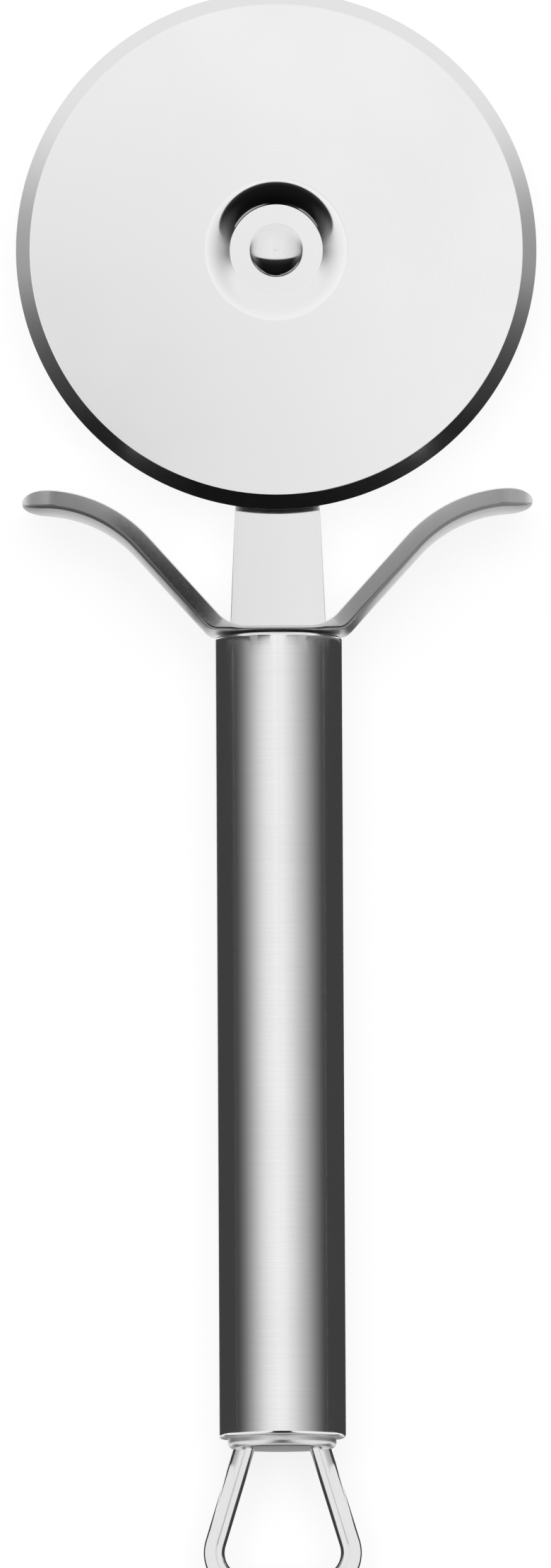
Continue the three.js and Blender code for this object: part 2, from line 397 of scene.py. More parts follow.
class GeometryTree:
    """A Geometry Nodes tree with named inputs, run once on an object and then turned into a plain mesh."""

    def __init__(self, name: str, inputs: dict[str, str]) -> None:
        """Make the tree and its sockets.

        Args:
            name: Name of the tree.
            inputs: Input name to socket type, after the geometry itself.
        """
        self.group = bpy.data.node_groups.new(name, "GeometryNodeTree")
        face = self.group.interface
        face.new_socket("Geometry", in_out="INPUT", socket_type="NodeSocketGeometry")
        for label, kind in inputs.items():
            face.new_socket(label, in_out="INPUT", socket_type=kind)
        face.new_socket("Geometry", in_out="OUTPUT", socket_type="NodeSocketGeometry")
        self.sketch = NodeSketch(self.group)
        self.given = self.sketch.add("NodeGroupInput").outputs

    def close(self, geometry: Socket) -> None:
        """End the tree: merge seams, realize, shade smooth and set the finish.

        Args:
            geometry: The shape so far.
        """
        sketch = self.sketch
        merged = sketch.add("GeometryNodeMergeByDistance", {0: geometry, "Distance": MERGE_DISTANCE})
        real = sketch.add("GeometryNodeRealizeInstances", {0: merged.outputs[0]})
        smooth = sketch.add("GeometryNodeSetShadeSmooth", {0: real.outputs[0]})
        dressed = sketch.add(
            "GeometryNodeSetMaterial", {0: smooth.outputs[0], "Material": self.given["Finish"]}
        )
        sketch.add("NodeGroupOutput", {0: dressed.outputs[0]})

    def run(
        self, name: str, points: Iterable[Sequence[float]], values: dict[str, object]
    ) -> Piece:
        """Run the tree on a polyline.

        Args:
            name: Name of the piece.
            points: The polyline's points.
            values: Input name to value.

        Returns:
            The piece as a plain mesh object at the origin.
        """
        line = list(points)
        mesh = bpy.data.meshes.new(name)
        mesh.from_pydata(line, [(i, i + 1) for i in range(len(line) - 1)], [])
        piece = stand(name, mesh)
        modifier = piece.modifiers.new("shape", "NODES")
        modifier.node_group = self.group
        for item in self.group.interface.items_tree:
            if item.in_out == "INPUT" and item.name in values:
                modifier[item.identifier] = values[item.name]
        settle(piece)
        seal(piece)
        return piece


def stand(name: str, data: bpy.types.ID) -> Piece:
    """Put a mesh, lamp or camera into the scene as an object at the origin.

    Args:
        name: Name of the object.
        data: What it shows.

    Returns:
        The object.
    """
    made = bpy.data.objects.new(name, data)
    bpy.context.scene.collection.objects.link(made)
    return made


def settle(piece: Piece) -> None:
    """Replace a piece's mesh by its evaluated shape and drop its modifiers.

    Args:
        piece: The piece.
    """
    graph = bpy.context.evaluated_depsgraph_get()
    shaped = bpy.data.meshes.new_from_object(piece.evaluated_get(graph))
    drawn = piece.data
    piece.modifiers.clear()
    piece.data = shaped
    bpy.data.meshes.remove(drawn)
    shaped.name = piece.name


def seal(piece: Piece) -> None:
    """Merge doubled points, turn the faces outwards and shade smooth, with flat faces kept flat.

    Args:
        piece: The piece.
    """
    work = bmesh.new()
    work.from_mesh(piece.data)
    bmesh.ops.remove_doubles(work, verts=work.verts, dist=MERGE_DISTANCE)
    bmesh.ops.dissolve_degenerate(work, edges=work.edges, dist=MERGE_DISTANCE)
    bmesh.ops.recalc_face_normals(work, faces=work.faces)
    for face in work.faces:
        face.smooth = True
    work.to_mesh(piece.data)
    work.free()
    piece.data.set_sharp_from_angle(angle=SHARP_ANGLE)
    weigh = piece.modifiers.new("flat_faces_lead", "WEIGHTED_NORMAL")
    weigh.keep_sharp = True
    settle(piece)


def forge(name: str, work: bmesh.types.BMesh, finish: Material) -> Piece:
    """Turn a worked mesh into a piece.

    Args:
        name: Name of the piece.
        work: The worked mesh, which is used up.
        finish: The piece's material.

    Returns:
        The piece.
    """
    mesh = bpy.data.meshes.new(name)
    work.to_mesh(mesh)
    work.free()
    mesh.materials.append(finish)
    piece = stand(name, mesh)
    seal(piece)
    return piece


class Lathe:
    """Turns a profile of (radius, height) points into a closed round piece."""

    FACETS = 192

    def __init__(self) -> None:
        """Build the tree: a grid whose rows take the profile's points and whose columns go round."""
        self.tree = GeometryTree(
            "turned_on_an_axis",
            {
                "Facets": "NodeSocketInt",
                "Centre": "NodeSocketVector",
                "Tilt": "NodeSocketRotation",
                "Finish": "NodeSocketMaterial",
            },
        )
        sketch, given = self.tree.sketch, self.tree.given
        count = sketch.add("GeometryNodeAttributeDomainSize", {0: given["Geometry"]}).outputs["Point Count"]
        columns = sketch.maths("ADD", given["Facets"], 1.0)
        grid = sketch.add(
            "GeometryNodeMeshGrid",
            {"Size X": 1.0, "Size Y": 1.0, "Vertices X": columns, "Vertices Y": count},
        )
        where = sketch.add("GeometryNodeInputPosition").outputs[0]
        spot = sketch.add("ShaderNodeSeparateXYZ", {0: where}).outputs
        turn = sketch.maths("MULTIPLY", sketch.maths("ADD", spot[0], 0.5), math.tau)
        last = sketch.maths("SUBTRACT", count, 1.0)
        row = sketch.maths("ROUND", sketch.maths("MULTIPLY", sketch.maths("ADD", spot[1], 0.5), last))
        sample = sketch.add(
            "GeometryNodeSampleIndex", {"Geometry": given["Geometry"], "Value": where, "Index": row},
            data_type="FLOAT_VECTOR", domain="POINT",
        )
        profile = sketch.add("ShaderNodeSeparateXYZ", {0: sample.outputs["Value"]}).outputs
        across = sketch.maths("MULTIPLY", profile[0], sketch.maths("COSINE", turn))
        along = sketch.maths("MULTIPLY", profile[0], sketch.maths("SINE", turn))
        point = sketch.add("ShaderNodeCombineXYZ", {0: across, 1: along, 2: profile[2]}).outputs[0]
        shaped = sketch.add("GeometryNodeSetPosition", {0: grid.outputs[0], "Position": point})
        placed = sketch.add(
            "GeometryNodeTransform",
            {0: shaped.outputs[0], "Translation": given["Centre"], "Rotation": given["Tilt"]},
        )
        self.tree.close(placed.outputs[0])

    def turn(
        self, name: str, profile: Sequence[Point], centre: Vector, finish: Material, along_y: bool = False
    ) -> Piece:
        """Turn one piece.

        Args:
            name: Name of the piece.
            profile: Points as (radius, height), closed or starting and ending on the axis.
            centre: Where height 0 of the axis lies.
            finish: The piece's material.
            along_y: The axis runs along Y and not Z.

        Returns:
            The piece.
        """
        tilt = (-math.pi / 2, 0.0, 0.0) if along_y else (0.0, 0.0, 0.0)
        values = {"Facets": self.FACETS, "Centre": centre, "Tilt": tilt, "Finish": finish}
        return self.tree.run(name, [(r, 0.0, h) for r, h in profile], values)


class WireBender:
    """Sweeps a round wire along a path."""

    SIDES = 40

    def __init__(self) -> None:
        """Build the tree: the path becomes a curve with a round section and closed ends."""
        self.tree = GeometryTree(
            "wire_along_a_path",
            {"Wire Radius": "NodeSocketFloat", "Sides": "NodeSocketInt", "Finish": "NodeSocketMaterial"},
        )
        sketch, given = self.tree.sketch, self.tree.given
        path = sketch.add("GeometryNodeMeshToCurve", {0: given["Geometry"]}).outputs[0]
        section = sketch.add(
            "GeometryNodeCurvePrimitiveCircle",
            {"Resolution": given["Sides"], "Radius": given["Wire Radius"]},
        ).outputs[0]
        wire = sketch.add(
            "GeometryNodeCurveToMesh", {"Curve": path, "Profile Curve": section, "Fill Caps": True}
        )
        self.tree.close(wire.outputs[0])

    def bend(
        self, name: str, path: Sequence[Sequence[float]], radius: float, finish: Material
    ) -> Piece:
        """Bend one wire and return the piece."""
        return self.tree.run(name, path, {"Wire Radius": radius, "Sides": self.SIDES, "Finish": finish})


def fix(piece: Piece, body: str, node: str) -> None:
    """Let a piece move with its body and stand for its CAD node, which is hidden.

    Args:
        piece: The finished piece.
        body: Body that it rides on.
        node: CAD node that it stands for.
    """
    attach(piece, body)
    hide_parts(node)
    LOG.info("%s: %d faces on %s", piece.name, len(piece.data.polygons), body)


@dataclass
class Axle:
    """The wheel, the rivet that it turns on and the rivet's washers.

    Attributes:
        sheet: Thickness of the wheel's sheet.
        bevel: Width of the ground edge.
        land: Thickness left at the cutting edge.
        mouth: Radius at which the dimple's flare leaves the flat face.
        floor: Radius of the dimple's flat floor.
        floor_bend: Bend radius at the floor, on the middle of the sheet.
        grind: Rounding where the ground edge meets the face.
        bore: Radius of the wheel's bore.
        shoulder: Radius of the rivet's shoulder.
        tail: Radius of the rivet's tail.
        head_height: Height of the domed head.
        head_rim: Height of the head's upright rim.
        peen_share: Radius of the peened tail as a share of the washer's below it.
        peen_height: Its height.
        washer_round: Edge rounding of the washers.
    """

    sheet: float = 1.2 * MM
    bevel: float = 2.0 * MM
    land: float = 0.2 * MM
    mouth: float = 10.35 * MM
    floor: float = 6.6 * MM
    floor_bend: float = 0.9 * MM
    grind: float = 0.25 * MM
    bore: float = 2.65 * MM
    shoulder: float = 2.6 * MM
    tail: float = 2.0 * MM
    head_height: float = 1.0 * MM
    head_rim: float = 0.2 * MM
    peen_share: float = 0.79
    peen_height: float = 0.9 * MM
    washer_round: float = 0.15 * MM
    FLOOR_STEPS = 10
    FLARE_STEPS = 40
    DOME_STEPS = 30
    centre: Vector = field(init=False)

    def __post_init__(self) -> None:
        """Take the axle's place from the joint."""
        spot = Vector(frame["joints"][0]["pos_m"])
        self.centre = Vector((spot.x, spot.y, 0.0))

    def _sheet_side(self, low: float, high: float, side: int) -> list[Point]:
        """One side of the pressed sheet from the dimple's floor out over its flare.

        Args:
            low: Middle of the sheet at the floor.
            high: Middle of the sheet at the face.
            side: 1 for the front, -1 for the back.

        Returns:
            The bends as points.
        """
        half = side * self.sheet / 2
        slope = 2 * math.atan2(high - low, self.mouth - self.floor)
        flare = (self.mouth - self.floor) / math.sin(slope) - self.floor_bend
        wall = math.degrees(slope)
        pivot = (self.floor, low + self.floor_bend)
        return [
            *arc(pivot, self.floor_bend - half, -90, wall - 90, self.FLOOR_STEPS),
            *arc((self.mouth, high - flare), flare + half, wall + 90, 90, self.FLARE_STEPS)[1:],
        ]

    def wheel_profile(self) -> list[Point]:
        """Draw the closed section of the wheel, its edge ground from the front.

        Returns:
            The section as (radius, height) points.
        """
        bottom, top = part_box("blade_wheel")
        rim = (top.x - bottom.x) / 2
        back, front = bottom.z, top.z
        half = self.sheet / 2
        flat = (self.mouth + rim) / 2
        ground = [
            (flat, front, 0),
            (rim - self.bevel, front, self.grind),
            (rim, front - self.sheet + self.land, 0),
            (rim, front - self.sheet, 0),
            (flat, front - self.sheet, 0),
        ]
        return [
            (self.bore, back + self.sheet),
            *self._sheet_side(back + half, front - half, 1),
            *rounded(ground),
            *reversed(self._sheet_side(back + half, front - half, -1)),
            (self.bore, back),
            (self.bore, back + self.sheet),
        ]

    def rivet_profile(self) -> list[Point]:
        """Draw the section of the rivet from the peened tail up to the domed head.

        Returns:
            The section as (radius, height) points.
        """
        low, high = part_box("axle_rivet")
        head = (high.x - low.x) / 2
        burr_low, burr_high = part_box("rivet_burr")
        peen = (burr_high.x - burr_low.x) / 2 * self.peen_share
        seat = high.z - self.head_height
        clench = low.z + self.peen_height
        spacer_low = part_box("spacer_washer")[0].z
        shoulder = seat + self.head_rim
        crown = self.head_height - self.head_rim
        quarter = [math.radians(90 * i / self.DOME_STEPS) for i in range(self.DOME_STEPS + 1)]
        dome = [(head * math.cos(a), shoulder + crown * math.sin(a)) for a in quarter]
        tail = [(peen * math.cos(a), clench - self.peen_height * math.sin(a)) for a in quarter]
        return [
            *reversed(tail),
            (self.tail, clench),
            (self.tail, spacer_low),
            (self.shoulder, spacer_low),
            (self.shoulder, seat),
            (head, seat),
            *dome,
        ]

    def washer_profile(self, node: str, bore: float) -> list[Point]:
        """Draw the closed section of a flat washer with softened edges.

        Args:
            node: CAD node of the washer.
            bore: Radius of its hole.

        Returns:
            The section as (radius, height) points.
        """
        low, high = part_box(node)
        outer = (high.x - low.x) / 2
        soft = self.washer_round
        return rounded([
            (bore, (low.z + high.z) / 2, 0),
            (bore, low.z, soft),
            (outer, low.z, soft),
            (outer, high.z, soft),
            (bore, high.z, soft),
            (bore, (low.z + high.z) / 2, 0),
        ])

    def build(self, lathe: Lathe) -> None:
        """Turn the wheel, the rivet and the washers, and fix them to their bodies.

        Args:
            lathe: Turns round pieces.
        """
        low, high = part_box("blade_wheel")
        mirror = GroundRimFinish(
            "wheel_polish", tone=(0.96, 0.96, 0.965), shade=0.03, gloss=(0.045, 0.09),
            grain=Grain.RINGS, pitch=0.25 * MM, relief=0.00002 * MM,
            centre=tuple(self.centre), ground_tone=0.93, ground_haze=0.1,
            rim_start=(high.x - low.x) / 2 - self.bevel,
        ).material()
        wheel = lathe.turn("cutting_wheel", self.wheel_profile(), self.centre, mirror)
        fix(wheel, WHEEL_BODY, "blade_wheel")

        polish = SteelFinish(
            "rivet_polish", tone=(0.9, 0.9, 0.905), shade=0.05, gloss=(0.03, 0.06),
            grain=Grain.CLOUDY, pitch=0.6 * MM, relief=0.0001 * MM,
        ).material()
        rivet = lathe.turn("rivet_with_domed_head", self.rivet_profile(), self.centre, polish)
        fix(rivet, HANDLE_BODY, "axle_rivet")
        burr_profile = self.washer_profile("rivet_burr", self.tail)
        burr = lathe.turn("rivet_washer", burr_profile, self.centre, polish)
        fix(burr, HANDLE_BODY, "rivet_burr")

        nylon = NylonFinish("spacer_black_nylon", (0.03, 0.03, 0.032)).material()
        spacer_profile = self.washer_profile("spacer_washer", self.bore)
        spacer = lathe.turn("wheel_spacer", spacer_profile, self.centre, nylon)
        fix(spacer, HANDLE_BODY, "spacer_washer")


@dataclass
class Handle:
    """The tube, its end cap and the hanging loop.

    Attributes:
        wall: Wall of the tube.
        rim_round: Rounding of the tube's outer edges.
        bore_round: Rounding of the tube's inner edges.
        cap_wall: Wall of the cap's skirt.
        cap_floor: Thickness of the cap's face.
        cap_round: Rounding of the cap's edge.
        skirt_round: Rounding of its skirt's end.
        inner_round: Rounding of the corner inside it.
        wire: Radius of the loop's wire.
        leg: Distance of each leg from the axis at the cap's face.
        splay: Angle of the legs to the axis, in degrees.
        corner: Bend radius of the loop's corners.
    """

    wall: float = 1.2 * MM
    rim_round: float = 0.55 * MM
    bore_round: float = 0.25 * MM
    cap_wall: float = 1.2 * MM
    cap_floor: float = 2.5 * MM
    cap_round: float = 0.9 * MM
    skirt_round: float = 0.2 * MM
    inner_round: float = 0.4 * MM
    wire: float = 1.5 * MM
    leg: float = 5.5 * MM
    splay: float = 17.0
    corner: float = 4.75 * MM
    CAP_STEPS = 8
    BEND_STEPS = 24
    axis: Vector = field(init=False)
    radius: float = field(init=False)
    mouth: float = field(init=False)
    end: float = field(init=False)

    def __post_init__(self) -> None:
        """Take the tube's size and place from its CAD node."""
        low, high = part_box("handle_tube")
        self.radius = (high.x - low.x) / 2
        self.mouth = high.y
        self.end = low.y
        self.axis = Vector((0.0, 0.0, (low.z + high.z) / 2))

    def tube_profile(self) -> list[Point]:
        """Draw the closed section of the tube's wall.

        Returns:
            The section as (radius, height) points.
        """
        bore = self.radius - self.wall
        half = (self.mouth + self.end) / 2
        return rounded([
            (bore, half, 0),
            (bore, self.end, self.bore_round),
            (self.radius, self.end, self.rim_round),
            (self.radius, self.mouth, self.rim_round),
            (bore, self.mouth, self.bore_round),
            (bore, half, 0),
        ])

    def cap_profile(self) -> list[Point]:
        """Draw the section of the cup-shaped cap, from the middle of its face round to its inside.

        Returns:
            The section as (radius, height) points.
        """
        low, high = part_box("end_cap")
        outer = (high.x - low.x) / 2
        inner = outer - self.cap_wall
        return rounded([
            (0.0, low.y, 0),
            (outer, low.y, self.cap_round),
            (outer, high.y, self.skirt_round),
            (inner, high.y, self.skirt_round),
            (inner, low.y + self.cap_floor, self.inner_round),
            (0.0, low.y + self.cap_floor, 0),
        ], self.CAP_STEPS)

    def loop_path(self) -> list[Place]:
        """Draw the wire's middle line, down one leg, round two corners and up the other.

        Returns:
            The points of the line.
        """
        low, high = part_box("hanging_loop")
        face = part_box("end_cap")[0].y
        bottom = low.y + self.wire
        slope = math.tan(math.radians(self.splay))
        foot = self.leg + slope * (face - bottom)
        top = high.y - self.wire * math.sin(math.radians(self.splay))
        start = self.leg + slope * (face - top)
        bends = [(0.0, bottom, 0), (foot, bottom, self.corner), (start, top, 0)]
        right = rounded(bends, self.BEND_STEPS)
        left = [(-x, y) for x, y in right[1:]]
        return [(x, y, self.axis.z) for x, y in [*reversed(right), *left]]

    def build(self, lathe: Lathe, bender: WireBender) -> None:
        """Make the tube, the cap and the loop, and dress the pieces inside the tube.

        Args:
            lathe: Turns round pieces.
            bender: Bends wire.
        """
        brushed = GroundEdgeFinish(
            "handle_brushed", tone=(0.95, 0.95, 0.955), shade=0.06, gloss=(0.1, 0.15),
            grain=Grain.AROUND, pitch=0.12 * MM, relief=0.0006 * MM,
            ground_tone=0.75, ground_haze=0.3, edge_axis=1, facing=(0.45, 0.85),
        ).material()
        tube = lathe.turn("handle_sleeve", self.tube_profile(), self.axis, brushed, along_y=True)
        fix(tube, HANDLE_BODY, "handle_tube")

        polish = SteelFinish(
            "cap_polish", tone=(0.84, 0.84, 0.845), shade=0.04, gloss=(0.3, 0.38),
            grain=Grain.CLOUDY, pitch=1.0 * MM, relief=0.0003 * MM,
        ).material()
        cap = lathe.turn("handle_end_cap", self.cap_profile(), self.axis, polish, along_y=True)
        fix(cap, HANDLE_BODY, "end_cap")

        drawn = SteelFinish(
            "wire_polish", tone=(0.88, 0.88, 0.885), shade=0.05, gloss=(0.08, 0.16),
            grain=Grain.LENGTHWISE, pitch=0.2 * MM, relief=0.0004 * MM,
        ).material()
        loop = bender.bend("wire_loop", self.loop_path(), self.wire, drawn)
        fix(loop, HANDLE_BODY, "hanging_loop")

        nylon = NylonFinish("plug_black_nylon", (0.03, 0.03, 0.032)).material()
        dull = SteelFinish(
            "pin_drawn_steel", tone=(0.7, 0.7, 0.71), shade=0.1, gloss=(0.25, 0.4),
            grain=Grain.CLOUDY, pitch=0.4 * MM, relief=0.001 * MM,
        ).material()
        for node, finish in (("tang_plug", nylon), ("tang_pin", dull)):
            inside = frame["nodes"][node]
            inside.data.materials.clear()
            inside.data.materials.append(finish)
            LOG.info("%s: kept from the packed model", node)


@dataclass
class Head:
    """The flat stem and the curled finger guard that stand in the handle's mouth.

    Attributes:
        thickness: Thickness of the guard's strip.
        rise: Height of the guard's flat middle above the tube's mouth.
        flat: Half length of the guard's flat middle.
        bend: Radius of the bend at each wing's root, on the upper side.
        slope: Angle of the wings, in degrees.
        straight: Length of each wing's straight stretch.
        curl: Radius of the curl at each wing's end, on the upper side.
        droop: How far the tips turn down again, in degrees.
        corner: Corner radius of the wings' tips, seen along the handle.
        nose: Length over which the strip thins out at its tips.
        upper_edge: Rounding along the strip's upper edges.
        lower_edge: Rounding along the strip's lower edges.
        root: Half width of the stem at the guard.
        tang: Half width of the tang.
        end: Radius of the stem's rounded end.
        chamfer: Softened edge of the stem.
        gap: Clearance between the stem's shoulders and the guard.
        lift: Height of the guard's underside over the tube's rim.
        ease: Softness of the step between that flat underside and the wings.
    """

    thickness: float = 2.6 * MM
    rise: float = 1.16 * MM
    flat: float = 4.6 * MM
    bend: float = 5.4 * MM
    slope: float = 48.0
    straight: float = 14.8 * MM
    curl: float = 21.0 * MM
    droop: float = 4.0
    corner: float = 5.5 * MM
    nose: float = 3.4 * MM
    upper_edge: float = 0.15 * MM
    lower_edge: float = 0.6 * MM
    root: float = 6.9 * MM
    tang: float = 4.5 * MM
    end: float = 4.5 * MM
    chamfer: float = 0.12 * MM
    gap: float = 0.05 * MM
    lift: float = 0.35 * MM
    ease: float = 0.6 * MM
    MIDDLE_STEPS = 4
    BEND_STEPS = 16
    CURL_STEPS = 40
    NOSE_STEPS = 10
    EDGE_STEPS = 6
    SHOULDER_STEPS = 10
    END_STEPS = 20

    def top_at(self, x: float) -> float:
        """Height of the guard's upper side above the mouth at a distance from the middle."""
        past = max(0.0, abs(x) - self.flat)
        return self.rise + self.bend - math.sqrt(self.bend**2 - past**2)

    def wing_line(self) -> list[tuple[Vector, float]]:
        """Middle line of the right half of the strip, from the middle to the tip.

        Returns:
            Points with the direction of the line there, in degrees.
        """
        half = self.thickness / 2
        low = self.rise - half
        root = (self.flat, self.rise + self.bend)
        count = self.MIDDLE_STEPS
        line = [(Vector((self.flat * i / count, low)), 0.0) for i in range(count)]
        bent = arc(root, self.bend + half, -90, self.slope - 90, self.BEND_STEPS)
        line += [(Vector(p), self.slope * i / self.BEND_STEPS) for i, p in enumerate(bent)]
        lean = math.radians(self.slope)
        reach = line[-1][0] + Vector((math.cos(lean), math.sin(lean))) * self.straight
        tight = self.curl - half
        pivot = reach + Vector((math.sin(lean), -math.cos(lean))) * tight
        turn = self.slope + self.droop
        curled = arc((pivot.x, pivot.y), tight, self.slope + 90, 90 - self.droop, self.CURL_STEPS)
        line += [(Vector(p), self.slope - turn * i / self.CURL_STEPS) for i, p in enumerate(curled)]
        return line

    def _section(self, tip: float, under: float) -> list[Point]:
        """Rounded section of the strip.

        Args:
            tip: Distance from the strip's tip.
            under: Room below the middle line, less than nothing where the strip rests on the tube.

        Returns:
            The section as (across, depth) points.
        """
        low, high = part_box("finger_guard")
        half = self.thickness / 2
        deep = (high.z - low.z) / 2
        short = max(0.0, 1 - tip / self.nose)
        thin = half * math.sqrt(1 - short**2)
        inset = max(0.0, self.corner - tip)
        wide = deep - self.corner + math.sqrt(max(0.0, self.corner**2 - inset**2))
        below = max(-thin, (thin + under - math.hypot(thin - under, self.ease)) / 2)
        points: list[Point] = []
        for quarter in range(4):
            upper = quarter in (0, 3)
            side = 1 if quarter in (0, 1) else -1
            soft = min(self.upper_edge if upper else self.lower_edge, (thin + below) / 2)
            across = thin - soft if upper else soft - below
            start = 90 * quarter
            points += arc((across, side * (wide - soft)), soft, start, start + 90, self.EDGE_STEPS)
        return points

    def _stations(self) -> list[tuple[Vector, float, float]]:
        """Find the places along the right half at which the strip gets a section.

        Returns:
            Each place as its point, the direction in radians and the distance from the tip.
        """
        line = self.wing_line()
        nose = self.thickness / 2
        last, heading = line[-1]
        ahead = Vector((math.cos(math.radians(heading)), math.sin(math.radians(heading))))
        quarter = [math.radians(90 * i / self.NOSE_STEPS) for i in range(1, self.NOSE_STEPS + 1)]
        steps = [nose * math.sin(a) for a in quarter]
        line = [*line, *((last + ahead * s, heading) for s in steps)]
        gone = [0.0]
        for (a, _), (b, _) in zip(line, line[1:]):
            gone.append(gone[-1] + (b - a).length)
        return [(p, math.radians(d), gone[-1] - g) for (p, d), g in zip(line, gone)]

    def guard(self, handle: Handle, finish: Material) -> Piece:
        """Sweep the strip from tip to tip, with its underside cleared over the tube's rim.

        Args:
            handle: The handle that it stands on.
            finish: The guard's material.

        Returns:
            The guard.
        """
        right = self._stations()
        left = [(Vector((-p.x, p.y)), -d, t) for p, d, t in reversed(right[1:])]
        rings = []
        work = bmesh.new()
        for point, direction, tip in [*left, *right]:
            normal = Vector((-math.sin(direction), math.cos(direction)))
            under = (point.y - self.lift) / normal.y
            spots = [(point + normal * a, b) for a, b in self._section(tip, under)]
            rings.append([
                work.verts.new((s.x, handle.mouth + s.y, handle.axis.z + b)) for s, b in spots
            ])
        for before, after in zip(rings, rings[1:]):
            for i in range(len(before)):
                j = (i + 1) % len(before)
                work.faces.new((before[i], before[j], after[j], after[i]))
        return forge("finger_guard_strip", work, finish)

    def stem_outline(self, handle: Handle, axle: Axle) -> list[Point]:
        """Draw the outline of the stem and its tang.

        Args:
            handle: The handle that the tang goes into.
            axle: The axle that the stem's end is round.

        Returns:
            The outline's points, anticlockwise from the tang's right foot.
        """
        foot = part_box("stem")[0].y
        shoulders = []
        for i in range(self.SHOULDER_STEPS + 1):
            x = self.tang + (self.root - self.tang) * i / self.SHOULDER_STEPS
            shoulders.append((x, handle.mouth + self.top_at(x) + self.gap))
        corner = Vector(shoulders[-1]) - Vector((0.0, axle.centre.y))
        tangent = math.degrees(math.atan2(corner.y, corner.x) + math.acos(self.end / corner.length))
        rounding = arc((0.0, axle.centre.y), self.end, tangent, 90, self.END_STEPS)
        right = [(self.tang, foot), *shoulders, *rounding]
        return [*right, *((-x, y) for x, y in reversed(right[:-1]))]

    def stem(self, handle: Handle, axle: Axle, finish: Material) -> Piece:
        """Cut the stem from flat bar with softened edges.

        Args:
            handle: The handle that the tang goes into.
            axle: The axle that the stem's end is round.
            finish: The stem's material.

        Returns:
            The stem.
        """
        low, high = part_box("stem")
        work = bmesh.new()
        outline = self.stem_outline(handle, axle)
        front = work.faces.new([work.verts.new((x, y, high.z)) for x, y in outline])
        grown = bmesh.ops.extrude_face_region(work, geom=[front])["geom"]
        backed = [v for v in grown if isinstance(v, bmesh.types.BMVert)]
        bmesh.ops.translate(work, verts=backed, vec=(0.0, 0.0, low.z - high.z))
        bmesh.ops.recalc_face_normals(work, faces=work.faces)
        rims = [e for e in work.edges if abs(e.verts[0].co.z - e.verts[1].co.z) < MERGE_DISTANCE]
        bmesh.ops.bevel(
            work, geom=rims, offset=self.chamfer, offset_type="OFFSET",
            segments=3, profile=0.5, affect="EDGES",
        )
        return forge("flat_stem", work, finish)

    def build(self, handle: Handle, axle: Axle) -> None:
        """Make the stem and the guard and fix them to the handle.

        Args:
            handle: The handle that they stand in.
            axle: The axle that the stem carries.
        """
        mirror = SteelFinish(
            "stem_polish", tone=(0.95, 0.95, 0.955), shade=0.03, gloss=(0.045, 0.09),
            grain=Grain.LENGTHWISE, pitch=0.25 * MM, relief=0.00002 * MM,
        ).material()
        fix(self.stem(handle, axle, mirror), HANDLE_BODY, "stem")
        satin = GroundEdgeFinish(
            "guard_satin", tone=(0.85, 0.85, 0.855), shade=0.06, gloss=(0.44, 0.5),
            grain=Grain.CLOUDY, pitch=0.8 * MM, relief=0.0008 * MM,
            ground_tone=0.75, ground_haze=-0.28,
        ).material()
        fix(self.guard(handle, satin), HANDLE_BODY, "finger_guard")


@dataclass(frozen=True)
class PaintedReflectionCard:
    """A flat glowing card that only reflections see: a painted reflection, dark where it paints shade into
    the steel and light where it paints a bright reflection; it lights nothing.

    Attributes:
        name: Name of the card.
        corners: Its corners in order.
        glow: How bright the painted reflection is.
    """

    name: str
    corners: Sequence[Place]
    glow: float

    def build(self) -> None:
        """Stand the card in the studio."""
        shade, sketch = blank_material(self.name)
        lit = sketch.add("ShaderNodeEmission", {"Strength": self.glow})
        sketch.add("ShaderNodeOutputMaterial", {"Surface": lit.outputs[0]})
        card = stage_sheet(self.name, self.corners, shade)
        # Hidden from the camera, the lights and the shadows, so that the card only paints reflections.
        card.visible_camera = False
        card.visible_diffuse = False
        card.visible_shadow = False
        card.visible_transmission = False


@dataclass(frozen=True)
class SideTones:
    """How bright the painted-reflection cards on one side of the tool are.

    Attributes:
        name: The side.
        hand: -1 on the left, 1 on the right.
        near: Distance of the dark floor card from the handle's axis.
        root: Level of the flag over the wing's root, which paints the reflected tone of the wing's face
            there.
        tip: Level of the flags over and beside its tip, which paint the reflected tone of the wing's face
            there.
        under: Level of the card below the wing, which paints the reflection of the wing's floor shadow into
            its underside.
    """

    name: str
    hand: int
    near: float
    root: float
    tip: float
    under: float


def lying(x0: float, x1: float, y0: float, y1: float, height: float) -> list[Place]:
    """Corners of a card that lies flat at a height."""
    return [(x0, y0, height), (x1, y0, height), (x1, y1, height), (x0, y1, height)]


def upright(start: Point, stop: Point, low: float, high: float) -> list[Place]:
    """Corners of a card that stands on the line between two points of the floor."""
    return [(*start, low), (*stop, low), (*stop, high), (*start, high)]


def stage_sheet(name: str, corners: Sequence[Place], finish: Material) -> Piece:
    """Make one flat sheet of the stage.

    Args:
        name: Name of the sheet.
        corners: Its corners in order.
        finish: Its material.

    Returns:
        The sheet.
    """
    mesh = bpy.data.meshes.new(name)
    mesh.from_pydata(corners, [], [tuple(range(len(corners)))])
    mesh.materials.append(finish)
    sheet = stand(name, mesh)
    return sheet


